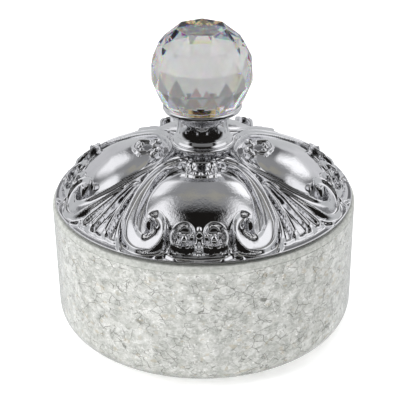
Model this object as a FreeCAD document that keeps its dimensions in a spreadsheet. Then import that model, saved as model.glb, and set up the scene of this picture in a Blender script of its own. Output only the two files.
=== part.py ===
import FreeCAD, Part
import math
import os
import Sketcher
from FreeCAD import Placement, Rotation, Vector

# Round vanity trinket box: a crackle-glass bowl on clear bumper feet, and a lift-off cast lid
# that carries a faceted crystal ball on a turned seat. Millimetres, +Z up, the origin in the
# middle of the surface that the feet stand on.

# ---------------------------------------------------------------- driving dimensions
DIMENSIONS = (
    # name, millimetres, what it is
    ("box_radius", 52.6, "outside of the glass at the rim"),
    ("base_radius", 51.9, "outside of the glass above the bottom rounding"),
    ("base_round", 8.6, "rounding between wall and underside"),
    ("foot_height", 0.6, "clear bumper foot"),
    ("foot_radius", 4.0, "clear bumper foot"),
    ("foot_circle", 30.0, "radius of the circle that the feet stand on"),
    ("rim_height", 47.0, "top of the glass lip"),
    ("lip_height", 2.2, "clear lip that closes the crackle layer"),
    ("lip_round", 1.0, "rounding on the outside of the lip"),
    ("crackle_wall", 3.4, "thickness of the crackle layer"),
    ("crackle_floor", 3.2, "thickness of the crackle layer under the bowl"),
    ("glass_wall", 2.0, "thickness of the clear bowl"),
    ("glass_floor", 3.0, "thickness of the clear bowl's floor"),
    ("bowl_round", 5.0, "rounding at the bottom of the hollow"),
    ("joint_gap", 0.15, "free space between the lid's flange and the lip"),
    ("lid_radius", 51.6, "edge of the cast lid"),
    ("edge_height", 1.2, "plain vertical edge of the lid"),
    ("border_radius", 47.6, "where the plain border meets the dome"),
    ("border_rise", 2.3, "height of that line above the lid's underside"),
    ("dome_rise", 16.6, "height of the dome's flat top above the lid's underside"),
    ("dome_top", 9.0, "radius of the dome's flat top"),
    ("dome_curve", 85.0, "radius of the dome's arched outline"),
    ("casting_wall", 2.2, "thickness of the cast dome"),
    ("boss_radius", 5.0, "boss that the stud passes through"),
    ("plug_radius", 45.6, "outside of the locating skirt"),
    ("plug_wall", 1.5, "thickness of the locating plug"),
    ("plug_depth", 6.2, "depth of the locating plug under the lid's flange"),
    ("seal_drop", 3.2, "from the lid's flange down to the seal's groove"),
    ("seal_height", 1.8, "height of the seal's groove"),
    ("seal_depth", 0.8, "depth of the seal's groove"),
    ("seal_air", 0.15, "free space round the seal in its groove"),
    ("seal_reach", 0.3, "free space between the seal and the glass"),
    ("cushion_distance", 28.0, "from the axis to the middle of a raised cushion"),
    ("cushion_across", 16.0, "half width of a raised cushion"),
    ("cushion_along", 13.5, "half length of a raised cushion"),
    ("cushion_height", 7.4, "half thickness of a raised cushion"),
    ("cushion_level", 8.2, "middle of a raised cushion above the lid's underside"),
    ("cushion_tilt", 22.0, "degrees that a cushion leans with the dome"),
    ("volute_distance", 43.2, "from the axis to the middle of a volute"),
    ("volute_turn", 21.6, "degrees from a cushion's middle to its volute"),
    ("volute_radius", 6.0, "outer radius of a volute"),
    ("volute_height", 2.4, "half thickness of a volute"),
    ("volute_level", 4.0, "middle of a volute above the lid's underside"),
    ("scroll_distance", 31.0, "from the axis to the middle of a scroll's curve"),
    ("scroll_radius", 20.6, "radius of a scroll's curve"),
    ("scroll_tube", 2.7, "half width of a scroll"),
    ("scroll_level", 7.9, "middle of a scroll above the lid's underside"),
    ("stud_radius", 2.0, "threaded stud"),
    ("stud_air", 0.2, "free space round the stud"),
    ("stud_drop", 9.6, "stud's lower end under the lid's flange"),
    ("foot_ring_radius", 7.9, "turned seat where it stands on the dome"),
    ("foot_ring_height", 2.6, "height of that ring"),
    ("flange_radius", 10.8, "widest disc of the turned seat"),
    ("flange_height", 2.6, "height of that disc"),
    ("seat_neck", 8.9, "radius of the neck under the cup"),
    ("seat_cone", 1.6, "height of the cone between disc and neck"),
    ("neck_height", 4.6, "height of the neck"),
    ("cup_radius", 13.5, "lip of the cup that holds the ball"),
    ("cup_wall", 0.8, "thickness of the cup's lip"),
    ("cup_height", 6.45, "from the neck's top to the cup's lip"),
    ("cup_seat", 8.85, "radius of the cup's flat floor"),
    ("cup_flare", 6.8, "radius of the flare from neck to lip"),
    ("cup_lip", 1.8, "height of the cup's lip"),
    ("ball_radius", 17.5, "faceted ball over its corners"),
    ("ball_height", 93.4, "middle of the ball above the ground"),
    ("bush_radius", 3.4, "threaded bush bonded into the ball"),
    ("bush_length", 6.0, "length of that bush"),
    ("washer_radius", 5.4, "flat washer under the plug"),
    ("washer_height", 0.8, "flat washer"),
    ("nut_across", 7.0, "hexagon nut across its flats"),
    ("nut_height", 2.6, "hexagon nut"),
)
FOOT_COUNT = 4
CUSHION_COUNT = 4
SCROLL_SWEEP = 212
RING_LATITUDES = (60, 36, 12, -12, -36, -60)
RING_CORNERS = (7, 14, 14, 14, 14, 7)
HALF_STEP = 180 / 14
RING_STARTS = (180, 180 + HALF_STEP, 180, 180 + HALF_STEP, 180, 180 - HALF_STEP)

document = FreeCAD.newDocument("trinket_box")
sheet = document.addObject("Spreadsheet::Sheet", "dims")
for row, (name, size, note) in enumerate(DIMENSIONS, start=1):
    sheet.set(f"A{row}", note)
    sheet.set(f"B{row}", str(size))
    sheet.setAlias(f"B{row}", name)
document.recompute()

# Heights that several pieces share, as sheet expressions.
FLOOR_UNDERSIDE = "dims.foot_height"
BOWL_UNDERSIDE = "(dims.foot_height + dims.crackle_floor)"
BOWL_FLOOR = "(dims.foot_height + dims.crackle_floor + dims.glass_floor)"
LIP_UNDERSIDE = "(dims.rim_height - dims.lip_height)"
JACKET_INSIDE = "(dims.base_radius - dims.crackle_wall)"
BOWL_INSIDE = "(dims.base_radius - dims.crackle_wall - dims.glass_wall)"
FLANGE = "(dims.rim_height + dims.joint_gap)"
DOME_TOP = "(dims.rim_height + dims.joint_gap + dims.dome_rise)"
STUD_HOLE = "(dims.stud_radius + dims.stud_air)"
RING_TOP = f"({DOME_TOP} + dims.foot_ring_height)"
DISC_TOP = f"({RING_TOP} + dims.flange_height)"
NECK_FOOT = f"({DISC_TOP} + dims.seat_cone)"
NECK_TOP = f"({NECK_FOOT} + dims.neck_height)"
CUP_TOP = f"({NECK_TOP} + dims.cup_height)"
PLATE_UNDERSIDE = f"({FLANGE} - dims.plug_wall)"
BALL_UNDERSIDE = "(dims.ball_height - dims.ball_radius * sin(60 deg))"


def number(expression):
    """The value of a sheet expression."""
    return float(sheet.evalExpression(expression.replace("dims.", "")))


def plane(body, role):
    """A body's own origin plane."""
    return next(item for item in body.Origin.OriginFeatures if item.Role == role)


def arc_between(start, end, radius, side):
    """An arc of a circle from start to end. side is 1 where it bulges left of that way, -1 right."""
    middle = (start + end) * 0.5
    chord = end - start
    left = Vector(-chord.y, chord.x, 0).normalize()
    centre = middle - left * (side * math.sqrt(radius**2 - (chord.Length / 2) ** 2))
    first, last = (end, start) if side > 0 else (start, end)
    angles = [math.atan2((p - centre).y, (p - centre).x) for p in (first, last)]
    return Part.ArcOfCircle(Part.Circle(centre, Vector(0, 0, 1), radius), *angles)


def outline_sketch(body, name, corners, role="XZ_Plane"):
    """A closed sketch. A corner is (across, up), or (across, up, radius, side) where an arc leaves it."""
    sketch = body.newObject("Sketcher::SketchObject", name)
    sketch.AttachmentSupport = [(plane(body, role), "")]
    sketch.MapMode = "FlatFace"
    points = [Vector(number(c[0]), number(c[1]), 0) for c in corners]
    ends = []
    for index, corner in enumerate(corners):
        start, end = points[index], points[(index + 1) % len(points)]
        if len(corner) == 2:
            sketch.addGeometry(Part.LineSegment(start, end))
            ends.append((1, 2))
        else:
            sketch.addGeometry(arc_between(start, end, number(corner[2]), corner[3]))
            ends.append((2, 1) if corner[3] > 0 else (1, 2))
    for index, corner in enumerate(corners):
        following = (index + 1) % len(corners)
        sketch.addConstraint(
            Sketcher.Constraint("Coincident", index, ends[index][1], following, ends[following][0])
        )
    for index, corner in enumerate(corners):
        for kind, place, value in (("DistanceX", 0, points[index].x), ("DistanceY", 1, points[index].y)):
            made = sketch.addConstraint(Sketcher.Constraint(kind, index, ends[index][0], value))
            sketch.setExpression(f"Constraints[{made}]", corner[place])
        if len(corner) > 2:
            made = sketch.addConstraint(Sketcher.Constraint("Radius", index, number(corner[2])))
            sketch.setExpression(f"Constraints[{made}]", corner[2])
    return sketch


def turned(name, corners):
    """A body made by turning an outline about the vertical axis."""
    body = document.addObject("PartDesign::Body", name)
    body.Label = name
    sketch = outline_sketch(body, name + "_outline", corners)
    turn = body.newObject("PartDesign::Revolution", name + "_turn")
    turn.Profile = sketch
    turn.ReferenceAxis = (sketch, ["V_Axis"])
    turn.Angle = 360
    document.recompute()
    return body


def rounded(body, radius, *circles):
    """Rounds the circular edges that pass at these (radius, height) places, given as expressions."""
    base = body.Tip
    names = []
    for circle in circles:
        wanted = (number(circle[0]), number(circle[1]))
        for index, edge in enumerate(base.Shape.Edges, start=1):
            at = edge.Vertexes[0].Point
            place = (math.hypot(at.x, at.y), at.z)
            if isinstance(edge.Curve, Part.Circle) and math.dist(place, wanted) < 0.01:
                names.append(f"Edge{index}")
    fillet = body.newObject("PartDesign::Fillet", f"{body.Name}_round_{len(body.Group)}")
    fillet.Base = (base, names)
    fillet.setExpression("Radius", radius)
    document.recompute()
    return body


def disc(name, inner, outer, low, high):
    """A plain turned ring or washer."""
    return turned(name, [(inner, low), (outer, low), (outer, high), (inner, high)])


# ---------------------------------------------------------------- glass base
def crackle_jacket():
    """The crazed outer layer: a cup whose wall stops under the clear lip."""
    outer_top = "(dims.base_radius + (dims.box_radius - dims.base_radius) * 0.95)"
    body = turned(
        "crackle_jacket",
        [
            ("0", FLOOR_UNDERSIDE),
            ("dims.base_radius", FLOOR_UNDERSIDE),
            (outer_top, LIP_UNDERSIDE),
            (JACKET_INSIDE, LIP_UNDERSIDE),
            (JACKET_INSIDE, BOWL_UNDERSIDE),
            ("0", BOWL_UNDERSIDE),
        ],
    )
    rounded(body, "dims.base_round", ("dims.base_radius", FLOOR_UNDERSIDE))
    return rounded(body, "dims.bowl_round + dims.glass_wall", (JACKET_INSIDE, BOWL_UNDERSIDE))


def glass_bowl():
    """The clear bowl inside the jacket. Its lip turns out over the jacket's top."""
    outer_top = "(dims.base_radius + (dims.box_radius - dims.base_radius) * 0.95)"
    body = turned(
        "glass_bowl",
        [
            ("0", BOWL_UNDERSIDE),
            (JACKET_INSIDE, BOWL_UNDERSIDE),
            (JACKET_INSIDE, LIP_UNDERSIDE),
            (outer_top, LIP_UNDERSIDE),
            ("dims.box_radius", "dims.rim_height"),
            (BOWL_INSIDE, "dims.rim_height"),
            (BOWL_INSIDE, BOWL_FLOOR),
            ("0", BOWL_FLOOR),
        ],
    )
    rounded(body, "dims.bowl_round + dims.glass_wall", (JACKET_INSIDE, BOWL_UNDERSIDE))
    rounded(body, "dims.bowl_round", (BOWL_INSIDE, BOWL_FLOOR))
    return rounded(body, "dims.lip_round", ("dims.box_radius", "dims.rim_height"))


def bumper_feet():
    """Clear self-adhesive bumpers, one body for each."""
    feet = []
    for index in range(FOOT_COUNT):
        foot = disc(f"bumper_foot_{index + 1}", "0", "dims.foot_radius", "0", "dims.foot_height")
        angle = math.radians(45 + 360 / FOOT_COUNT * index)
        foot.setExpression("Placement.Base.x", f"dims.foot_circle * {math.cos(angle):.6f}")
        foot.setExpression("Placement.Base.y", f"dims.foot_circle * {math.sin(angle):.6f}")
        feet.append(foot)
    return feet


# ---------------------------------------------------------------- lid
def additive_ellipsoid(body, name, across, along, height):
    """A raised boss on the dome, as half sizes across, along the radius, and up."""
    boss = body.newObject("PartDesign::AdditiveEllipsoid", name)
    boss.setExpression("Radius1", height)
    boss.setExpression("Radius2", along)
    boss.setExpression("Radius3", across)
    return boss


def additive_scroll(body, name):
    """A raised C-shaped scroll, open on the side away from the knob."""
    scroll = body.newObject("PartDesign::AdditiveTorus", name)
    scroll.setExpression("Radius1", "dims.scroll_radius")
    scroll.setExpression("Radius2", "dims.scroll_tube")
    scroll.Angle3 = SCROLL_SWEEP
    return scroll


def lean_on_dome(boss, turn, distance, level, spin=0):
    """Places a boss at a distance from the axis, turned to its side of the lid, leaning with the dome."""
    outward = math.radians(turn - 90)
    boss.AttachmentSupport = None
    boss.Placement = Placement(
        Vector(distance * math.cos(outward), distance * math.sin(outward), number(FLANGE) + level),
        Rotation(Vector(0, 0, 1), turn - 90)
        * Rotation(Vector(0, 1, 0), number("dims.cushion_tilt"))
        * Rotation(Vector(0, 0, 1), spin),
    )
    document.recompute()


def repeated_round(body, feature, name):
    """Repeats a feature round the vertical axis, once for each side of the lid."""
    pattern = body.newObject("PartDesign::PolarPattern", name)
    pattern.Originals = [feature]
    pattern.Axis = (next(i for i in body.Origin.OriginFeatures if i.Role == "Z_Axis"), [""])
    pattern.Angle = 360
    pattern.Occurrences = CUSHION_COUNT
    body.Tip = pattern
    document.recompute()
    return pattern


def lid_casting():
    """The cast lid: a plain border and an arched dome with cushions, scrolls and volutes, hollow below."""
    body = turned(
        "lid_casting",
        [
            ("0", FLANGE),
            ("dims.lid_radius", FLANGE),
            ("dims.lid_radius", f"{FLANGE} + dims.edge_height"),
            ("dims.border_radius", f"{FLANGE} + dims.border_rise", "dims.dome_curve", -1),
            ("dims.dome_top", DOME_TOP),
            ("0", DOME_TOP),
        ],
    )
    scroll = additive_scroll(body, "scroll")
    lean_on_dome(
        scroll, 0, number("dims.scroll_distance"), number("dims.scroll_level"), 180 - SCROLL_SWEEP / 2
    )
    repeated_round(body, scroll, "scrolls")
    cushion = additive_ellipsoid(
        body, "cushion", "dims.cushion_across", "dims.cushion_along", "dims.cushion_height"
    )
    lean_on_dome(cushion, 0, number("dims.cushion_distance"), number("dims.cushion_level"))
    repeated_round(body, cushion, "cushions")
    for side in (-1, 1):
        name = "volute_left" if side < 0 else "volute_right"
        volute = additive_ellipsoid(
            body, name, "dims.volute_radius", "dims.volute_radius", "dims.volute_height"
        )
        lean_on_dome(
            volute, side * number("dims.volute_turn"), number("dims.volute_distance"),
            number("dims.volute_level"),
        )
        repeated_round(body, volute, name + "s")
    hollow = outline_sketch(
        body,
        "hollow_outline",
        [
            ("dims.boss_radius", f"{FLANGE} - 1"),
            ("dims.plug_radius - 1", f"{FLANGE} - 1"),
            ("dims.plug_radius - 1", f"{FLANGE} + 1", "dims.dome_curve - dims.casting_wall", -1),
            ("dims.boss_radius", f"{DOME_TOP} - dims.casting_wall"),
        ],
    )
    stud_hole = outline_sketch(
        body,
        "stud_hole_outline",
        [
            ("0", f"{FLANGE} - 1"),
            (STUD_HOLE, f"{FLANGE} - 1"),
            (STUD_HOLE, f"{DOME_TOP} + 1"),
            ("0", f"{DOME_TOP} + 1"),
        ],
    )
    for sketch in (hollow, stud_hole):
        groove = body.newObject("PartDesign::Groove", sketch.Name.replace("_outline", ""))
        groove.Profile = sketch
        groove.ReferenceAxis = (sketch, ["V_Axis"])
        groove.Angle = 360
        document.recompute()
    return body


def locating_plug():
    """The pressed plate that closes the lid's hollow, with the skirt that centres it in the bowl."""
    outside = "dims.plug_radius"
    inside = "(dims.plug_radius - dims.plug_wall)"
    groove = "(dims.plug_radius - dims.seal_depth)"
    groove_top = f"({FLANGE} - dims.seal_drop)"
    groove_low = f"({FLANGE} - dims.seal_drop - dims.seal_height)"
    low = f"({FLANGE} - dims.plug_depth)"
    return turned(
        "locating_plug",
        [
            (STUD_HOLE, PLATE_UNDERSIDE),
            (inside, PLATE_UNDERSIDE),
            (inside, low),
            (outside, low),
            (outside, groove_low),
            (groove, groove_low),
            (groove, groove_top),
            (outside, groove_top),
            (outside, FLANGE),
            (STUD_HOLE, FLANGE),
        ],
    )


def seal_ring():
    """The clear seal ring that sits in the skirt's groove and steadies the lid in the glass."""
    inner = "(dims.plug_radius - dims.seal_depth + dims.seal_air)"
    outer = f"({BOWL_INSIDE} - dims.seal_reach)"
    high = f"({FLANGE} - dims.seal_drop - dims.seal_air)"
    low = f"({FLANGE} - dims.seal_drop - dims.seal_height + dims.seal_air)"
    ring = turned("seal_ring", [(inner, low), (outer, low), (outer, high), (inner, high)])
    return rounded(ring, "0.25", (outer, low), (outer, high))


# ---------------------------------------------------------------- knob
def knob_base():
    """The turned foot of the knob: a ring on the dome, a wide rounded disc, and a cone up to the neck."""
    body = turned(
        "knob_base",
        [
            (STUD_HOLE, DOME_TOP),
            ("dims.foot_ring_radius", DOME_TOP),
            ("dims.foot_ring_radius", RING_TOP),
            ("dims.flange_radius", RING_TOP),
            ("dims.flange_radius", DISC_TOP),
            ("dims.seat_neck + 0.6", NECK_FOOT),
            (STUD_HOLE, NECK_FOOT),
        ],
    )
    edges = (("dims.flange_radius", RING_TOP), ("dims.flange_radius", DISC_TOP))
    return rounded(body, "dims.flange_height * 0.42", *edges)


def knob_cup():
    """The neck and the flared cup that holds the ball."""
    lip_inside = "(dims.cup_radius - dims.cup_wall)"
    return turned(
        "knob_cup",
        [
            (STUD_HOLE, NECK_FOOT),
            ("dims.seat_neck", NECK_FOOT),
            ("dims.seat_neck - 0.1", f"{NECK_TOP} + 0.75", "dims.cup_flare", 1),
            ("dims.cup_radius", f"{CUP_TOP} - dims.cup_lip"),
            ("dims.cup_radius", CUP_TOP),
            (lip_inside, CUP_TOP, "dims.ball_radius + 0.2", 1),
            ("dims.cup_seat", BALL_UNDERSIDE),
            (STUD_HOLE, BALL_UNDERSIDE),
        ],
    )


def ring_corner(ring, index):
    """A corner of the faceted ball."""
    radius = number("dims.ball_radius")
    latitude = math.radians(RING_LATITUDES[ring])
    angle = math.radians(RING_STARTS[ring] + 360 / RING_CORNERS[ring] * index - 90)
    flat = radius * math.cos(latitude)
    height = number("dims.ball_height") + radius * math.sin(latitude)
    return Vector(flat * math.cos(angle), flat * math.sin(angle), height)


def facet(*corners):
    return Part.Face(Part.makePolygon([*corners, corners[0]]))


def cap_facets(table, belt):
    """The table, and the two kinds of facet between its ring and the ring of twice its corners."""
    count = RING_CORNERS[table]
    facets = [facet(*(ring_corner(table, i) for i in range(count)))]
    for i in range(count):
        near = ring_corner(table, i)
        before, after = ring_corner(belt, 2 * i - 1), ring_corner(belt, 2 * i)
        facets.append(facet(near, before, after))
        facets.append(facet(near, after, ring_corner(belt, 2 * i + 1), ring_corner(table, i + 1)))
    return facets


def belt_facets(upper, lower, shift):
    """The triangles between two rings with the same number of corners."""
    facets = []
    for i in range(RING_CORNERS[upper]):
        near, after = ring_corner(upper, i), ring_corner(upper, i + 1)
        under, following = ring_corner(lower, i + shift), ring_corner(lower, i + shift + 1)
        facets.append(facet(near, after, under))
        facets.append(facet(under, following, after))
    return facets


def crystal_ball():
    """The faceted ball, with the blind hole that its bush is bonded into. The facets are faces made
    one by one from the corners, because no sketched feature gives this solid."""
    facets = cap_facets(0, 1) + cap_facets(5, 4)
    facets += belt_facets(1, 2, 1) + belt_facets(2, 3, 0) + belt_facets(3, 4, 1)
    solid = Part.makeSolid(Part.makeShell(facets))
    if solid.Volume < 0:
        solid.reverse()
    faceted = document.addObject("Part::Feature", "ball_facets")
    faceted.Shape = solid
    hole = document.addObject("Part::Cylinder", "bush_hole")
    hole.setExpression("Radius", "dims.bush_radius")
    hole.setExpression("Height", "dims.bush_length + 1")
    hole.setExpression("Placement.Base.z", f"{BALL_UNDERSIDE} - 1")
    ball = document.addObject("Part::Cut", "crystal_ball")
    ball.Base = faceted
    ball.Tool = hole
    return ball


def fasteners():
    """The bush in the ball, the stud through the knob and lid, and the washer and nut below."""
    bush_top = f"{BALL_UNDERSIDE} + dims.bush_length"
    bush = disc("ball_bush", "dims.stud_radius", "dims.bush_radius", BALL_UNDERSIDE, bush_top)
    stud = disc("knob_stud", "0", "dims.stud_radius", f"{FLANGE} - dims.stud_drop", bush_top)
    washer_low = f"({PLATE_UNDERSIDE} - dims.washer_height)"
    washer = disc("flat_washer", STUD_HOLE, "dims.washer_radius", washer_low, PLATE_UNDERSIDE)
    nut = hexagon_nut(washer_low)
    return [bush, stud, washer, nut]


def hexagon_nut(top):
    """A hexagon nut with the stud's hole, hanging from the washer."""
    prism = document.addObject("Part::Prism", "nut_hexagon")
    prism.Polygon = 6
    prism.setExpression("Circumradius", "dims.nut_across / 2 / cos(30 deg)")
    prism.setExpression("Height", "dims.nut_height")
    prism.setExpression("Placement.Base.z", f"{top} - dims.nut_height")
    hole = document.addObject("Part::Cylinder", "nut_hole")
    hole.setExpression("Radius", "dims.stud_radius")
    hole.setExpression("Height", "dims.nut_height + 2")
    hole.setExpression("Placement.Base.z", f"{top} - dims.nut_height - 1")
    nut = document.addObject("Part::Cut", "hex_nut")
    nut.Base = prism
    nut.Tool = hole
    return nut


# ---------------------------------------------------------------- build, check and write
PIECES = [
    crackle_jacket(),
    glass_bowl(),
    *bumper_feet(),
    lid_casting(),
    locating_plug(),
    seal_ring(),
    knob_base(),
    knob_cup(),
    crystal_ball(),
    *fasteners(),
]
for piece in PIECES:
    piece.Label = piece.Name
document.recompute()

failed = [o.Name for o in document.Objects if "Invalid" in o.State or "Error" in o.State]
if failed:
    raise SystemExit(f"these objects failed: {failed}")
for piece in PIECES:
    if piece.Shape.isNull() or not piece.Shape.isValid() or not piece.Shape.Solids:
        raise SystemExit(f"{piece.Label} has no valid solid")

os.makedirs("parts", exist_ok=True)
for piece in PIECES:
    piece.Shape.exportStep(f"parts/{piece.Label}.step")
    box = piece.Shape.BoundBox
    heights = f"z {box.ZMin:.2f} to {box.ZMax:.2f}"
    print(piece.Label, len(piece.Shape.Solids), "solid,", round(piece.Shape.Volume), "mm3,", heights)
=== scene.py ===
# %% [markdown]
# # A vanity trinket box
#
# The box is a crackle-glass bowl with a loose chrome lid. The lid is a casting in scrollwork
# relief, and a faceted crystal ball on a turned seat is its knob. This lesson dresses the
# finished CAD model: each piece that is seen gets a finish made of nodes, and most of them a finer mesh.
#
# Sizes in this lesson are in millimetres, and one helper turns them into metres at the end.

# %% open the frame
import math

import bmesh
import bpy
import numpy as np
from mathutils import Matrix, Vector


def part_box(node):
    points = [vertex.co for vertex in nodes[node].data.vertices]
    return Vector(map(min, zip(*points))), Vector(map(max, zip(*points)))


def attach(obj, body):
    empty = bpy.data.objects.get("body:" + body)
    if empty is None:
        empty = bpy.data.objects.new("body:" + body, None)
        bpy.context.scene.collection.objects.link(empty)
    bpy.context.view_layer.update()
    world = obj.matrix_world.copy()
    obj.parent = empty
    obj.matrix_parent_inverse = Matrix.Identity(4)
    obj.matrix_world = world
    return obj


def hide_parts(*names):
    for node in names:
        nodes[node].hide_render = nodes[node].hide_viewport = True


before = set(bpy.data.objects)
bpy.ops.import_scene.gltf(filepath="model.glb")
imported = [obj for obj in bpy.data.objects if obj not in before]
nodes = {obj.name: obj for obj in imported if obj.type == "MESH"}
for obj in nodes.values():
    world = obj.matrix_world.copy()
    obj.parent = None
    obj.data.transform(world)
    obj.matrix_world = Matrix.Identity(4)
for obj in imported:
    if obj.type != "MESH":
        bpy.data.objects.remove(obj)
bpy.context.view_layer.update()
MM = 0.001
print("CAD nodes:", sorted(nodes))

# %% [markdown]
# ## Measures taken from the CAD
#
# The visible pieces must sit exactly where the CAD put them, so nothing is placed by eye.
# Each CAD node has a box, and the levels and radii that the lesson needs are read from those.


# %% read levels and radii
def level(node, corner):
    """A node's lowest (0) or highest (1) level in millimetres."""
    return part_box(node)[corner].z / MM


def radius(node):
    """A round node's outer radius in millimetres."""
    low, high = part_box(node)
    return (high.x - low.x) / 2 / MM


FLANGE = level("lid_casting", 0)
LID_R = radius("lid_casting")
DOME_TOP = level("knob_base", 0)
NECK_FOOT = level("knob_base", 1)
RIM = level("glass_bowl", 1)
BOX_R = radius("glass_bowl")
# The ball's flat top and bottom are bounded by corners at this latitude, in degrees.
CAP_LATITUDE = 60
BALL_HEIGHT = level("crystal_ball", 1) - level("crystal_ball", 0)
BALL_R = BALL_HEIGHT / 2 / math.sin(math.radians(CAP_LATITUDE))
BALL_Z = (level("crystal_ball", 0) + level("crystal_ball", 1)) / 2
print(f"lid from {FLANGE:.2f} mm, radius {LID_R:.2f}; ball centre {BALL_Z:.2f}, radius {BALL_R:.2f}")

# %% [markdown]
# ## Making meshes
#
# Three small helpers serve every piece. The first turns points and faces into an object with
# smooth shading that breaks at sharp edges. The second rounds the corners of an outline, because
# no real edge is perfectly sharp and a rounded edge catches a line of light. The third spins an
# outline about the upright axis, which is how a lathe makes a knob and a press makes a round bowl.


# %% helpers: mesh, rounded outline, lathe
def mesh_piece(name, points_mm, faces, crease=38.0):
    mesh = bpy.data.meshes.new(name)
    mesh.from_pydata((np.asarray(points_mm, float) * MM).tolist(), [], faces)
    mesh.validate()
    shaped = bmesh.new()
    shaped.from_mesh(mesh)
    bmesh.ops.recalc_face_normals(shaped, faces=shaped.faces)
    shaped.to_mesh(mesh)
    shaped.free()
    mesh.polygons.foreach_set("use_smooth", [True] * len(mesh.polygons))
    mesh.set_sharp_from_angle(angle=math.radians(crease))
    piece = bpy.data.objects.new(name, mesh)
    bpy.context.scene.collection.objects.link(piece)
    return piece


def rounded_outline(corners, steps=5):
    """Corners are (radius, level) or (radius, level, rounding). The outline runs round once."""
    outline = []
    count = len(corners)
    for i, corner in enumerate(corners):
        here = np.array(corner[:2], float)
        rounding = corner[2] if len(corner) > 2 else 0.0
        if rounding <= 0:
            outline.append(here)
            continue
        before = np.array(corners[i - 1][:2], float) - here
        after = np.array(corners[(i + 1) % count][:2], float) - here
        before, after = before / np.linalg.norm(before), after / np.linalg.norm(after)
        half = math.acos(float(np.clip(before @ after, -1, 1))) / 2
        reach = rounding / math.tan(half)
        middle = here + (before + after) / np.linalg.norm(before + after) * rounding / math.sin(half)
        first, last = here + before * reach - middle, here + after * reach - middle
        for k in range(steps + 1):
            blend = first * (1 - k / steps) + last * (k / steps)
            outline.append(middle + blend / np.linalg.norm(blend) * rounding)
    return outline


def turned(name, outline, steps=192, crease=38.0):
    """Spins a closed outline. A point on the axis becomes one shared point."""
    points, rings = [], []
    angles = np.arange(steps) * 2 * math.pi / steps
    for r, z in outline:
        if r < 1e-6:
            rings.append([len(points)] * steps)
            points.append((0, 0, z))
        else:
            rings.append(list(range(len(points), len(points) + steps)))
            points += [(r * math.cos(a), r * math.sin(a), z) for a in angles]
    faces = []
    for k, ring in enumerate(rings):
        above = rings[(k + 1) % len(rings)]
        for i in range(steps):
            corners = [ring[i], ring[(i + 1) % steps], above[(i + 1) % steps], above[i]]
            unique = list(dict.fromkeys(corners))
            if len(unique) > 2:
                faces.append(unique)
    return mesh_piece(name, points, faces, crease)


# %% [markdown]
# ## Making finishes
#
# A finish is a small tree of shader nodes. Two helpers add a node to any tree and wire it in
# one line, and the room uses them later too. A class then starts a finish with a Principled
# shader and names the few steps that every finish repeats. All patterns use object coordinates,
# which are the piece's own place in metres, so a scale of 1000 gives one repeat per millimetre.


# %% helpers: nodes of any tree
def add_node(tree, kind, inputs=None, **settings):
    """Adds a node. An input is a plain value, or another node's socket to link."""
    node = tree.nodes.new(kind)
    for key, value in settings.items():
        setattr(node, key, value)
    for socket, value in (inputs or {}).items():
        if isinstance(value, bpy.types.NodeSocket):
            tree.links.new(value, node.inputs[socket])
        else:
            node.inputs[socket].default_value = value
    return node


def blend_colours(tree, share, first, second):
    """Mixes two colours, each a socket or three numbers. A share of 1 is all second."""
    first, second = (c if isinstance(c, bpy.types.NodeSocket) else (*c, 1.0) for c in (first, second))
    # The node lists a pair of inputs for each kind of value, and 6 and 7 are its two colours.
    wiring = {"Factor": share, 6: first, 7: second}
    return add_node(tree, "ShaderNodeMix", wiring, data_type="RGBA").outputs[2]


# %% helpers: finishes
class Finish:
    """A material and its node tree."""

    def __init__(self, name, **values):
        self.material = bpy.data.materials.new(name)
        self.material.use_nodes = True
        self.tree = self.material.node_tree
        self.shader = next(n for n in self.tree.nodes if n.type == "BSDF_PRINCIPLED")
        self.output = next(n for n in self.tree.nodes if n.type == "OUTPUT_MATERIAL")
        self.place = self.add("ShaderNodeTexCoord").outputs["Object"]
        for socket, value in values.items():
            self.shader.inputs[socket.replace("_", " ")].default_value = value

    def add(self, kind, inputs=None, **settings):
        return add_node(self.tree, kind, inputs, **settings)

    def link(self, socket, name):
        self.tree.links.new(socket, self.shader.inputs[name])

    def noise(self, scale, detail=2.0, rough=0.5, place=None):
        wiring = {"Vector": place or self.place, "Scale": scale, "Detail": detail, "Roughness": rough}
        return self.add("ShaderNodeTexNoise", wiring).outputs["Fac"]

    def between(self, value, low, high, to_low=0.0, to_high=1.0):
        wiring = {"Value": value, "From Min": low, "From Max": high, "To Min": to_low, "To Max": to_high}
        return self.add("ShaderNodeMapRange", wiring).outputs["Result"]

    def combine(self, operation, first, second):
        return self.add("ShaderNodeMath", {0: first, 1: second}, operation=operation).outputs[0]

    def blend(self, share, first, second):
        return blend_colours(self.tree, share, first, second)

    def bump(self, height, distance_mm, strength=1.0):
        wiring = {"Height": height, "Distance": distance_mm * MM, "Strength": strength}
        return self.add("ShaderNodeBump", wiring).outputs["Normal"]


def dress(piece, material):
    piece.data.materials.clear()
    piece.data.materials.append(material)


def dress_cad(node, material):
    """Gives a carried-over CAD node a finish in the slots that it already has."""
    for slot in nodes[node].material_slots:
        slot.material = material


# %% [markdown]
# ## The chrome finishes
#
# Chrome plate is a metal with almost no roughness, so what it shows is mostly the room. The cast
# lid isn't quite flat: plating over a casting leaves a fine ripple like orange peel, and that is
# what breaks the dark reflections into speckle. The turned parts are polished on the lathe, so
# they get only faint rings that follow the turning.


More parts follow.
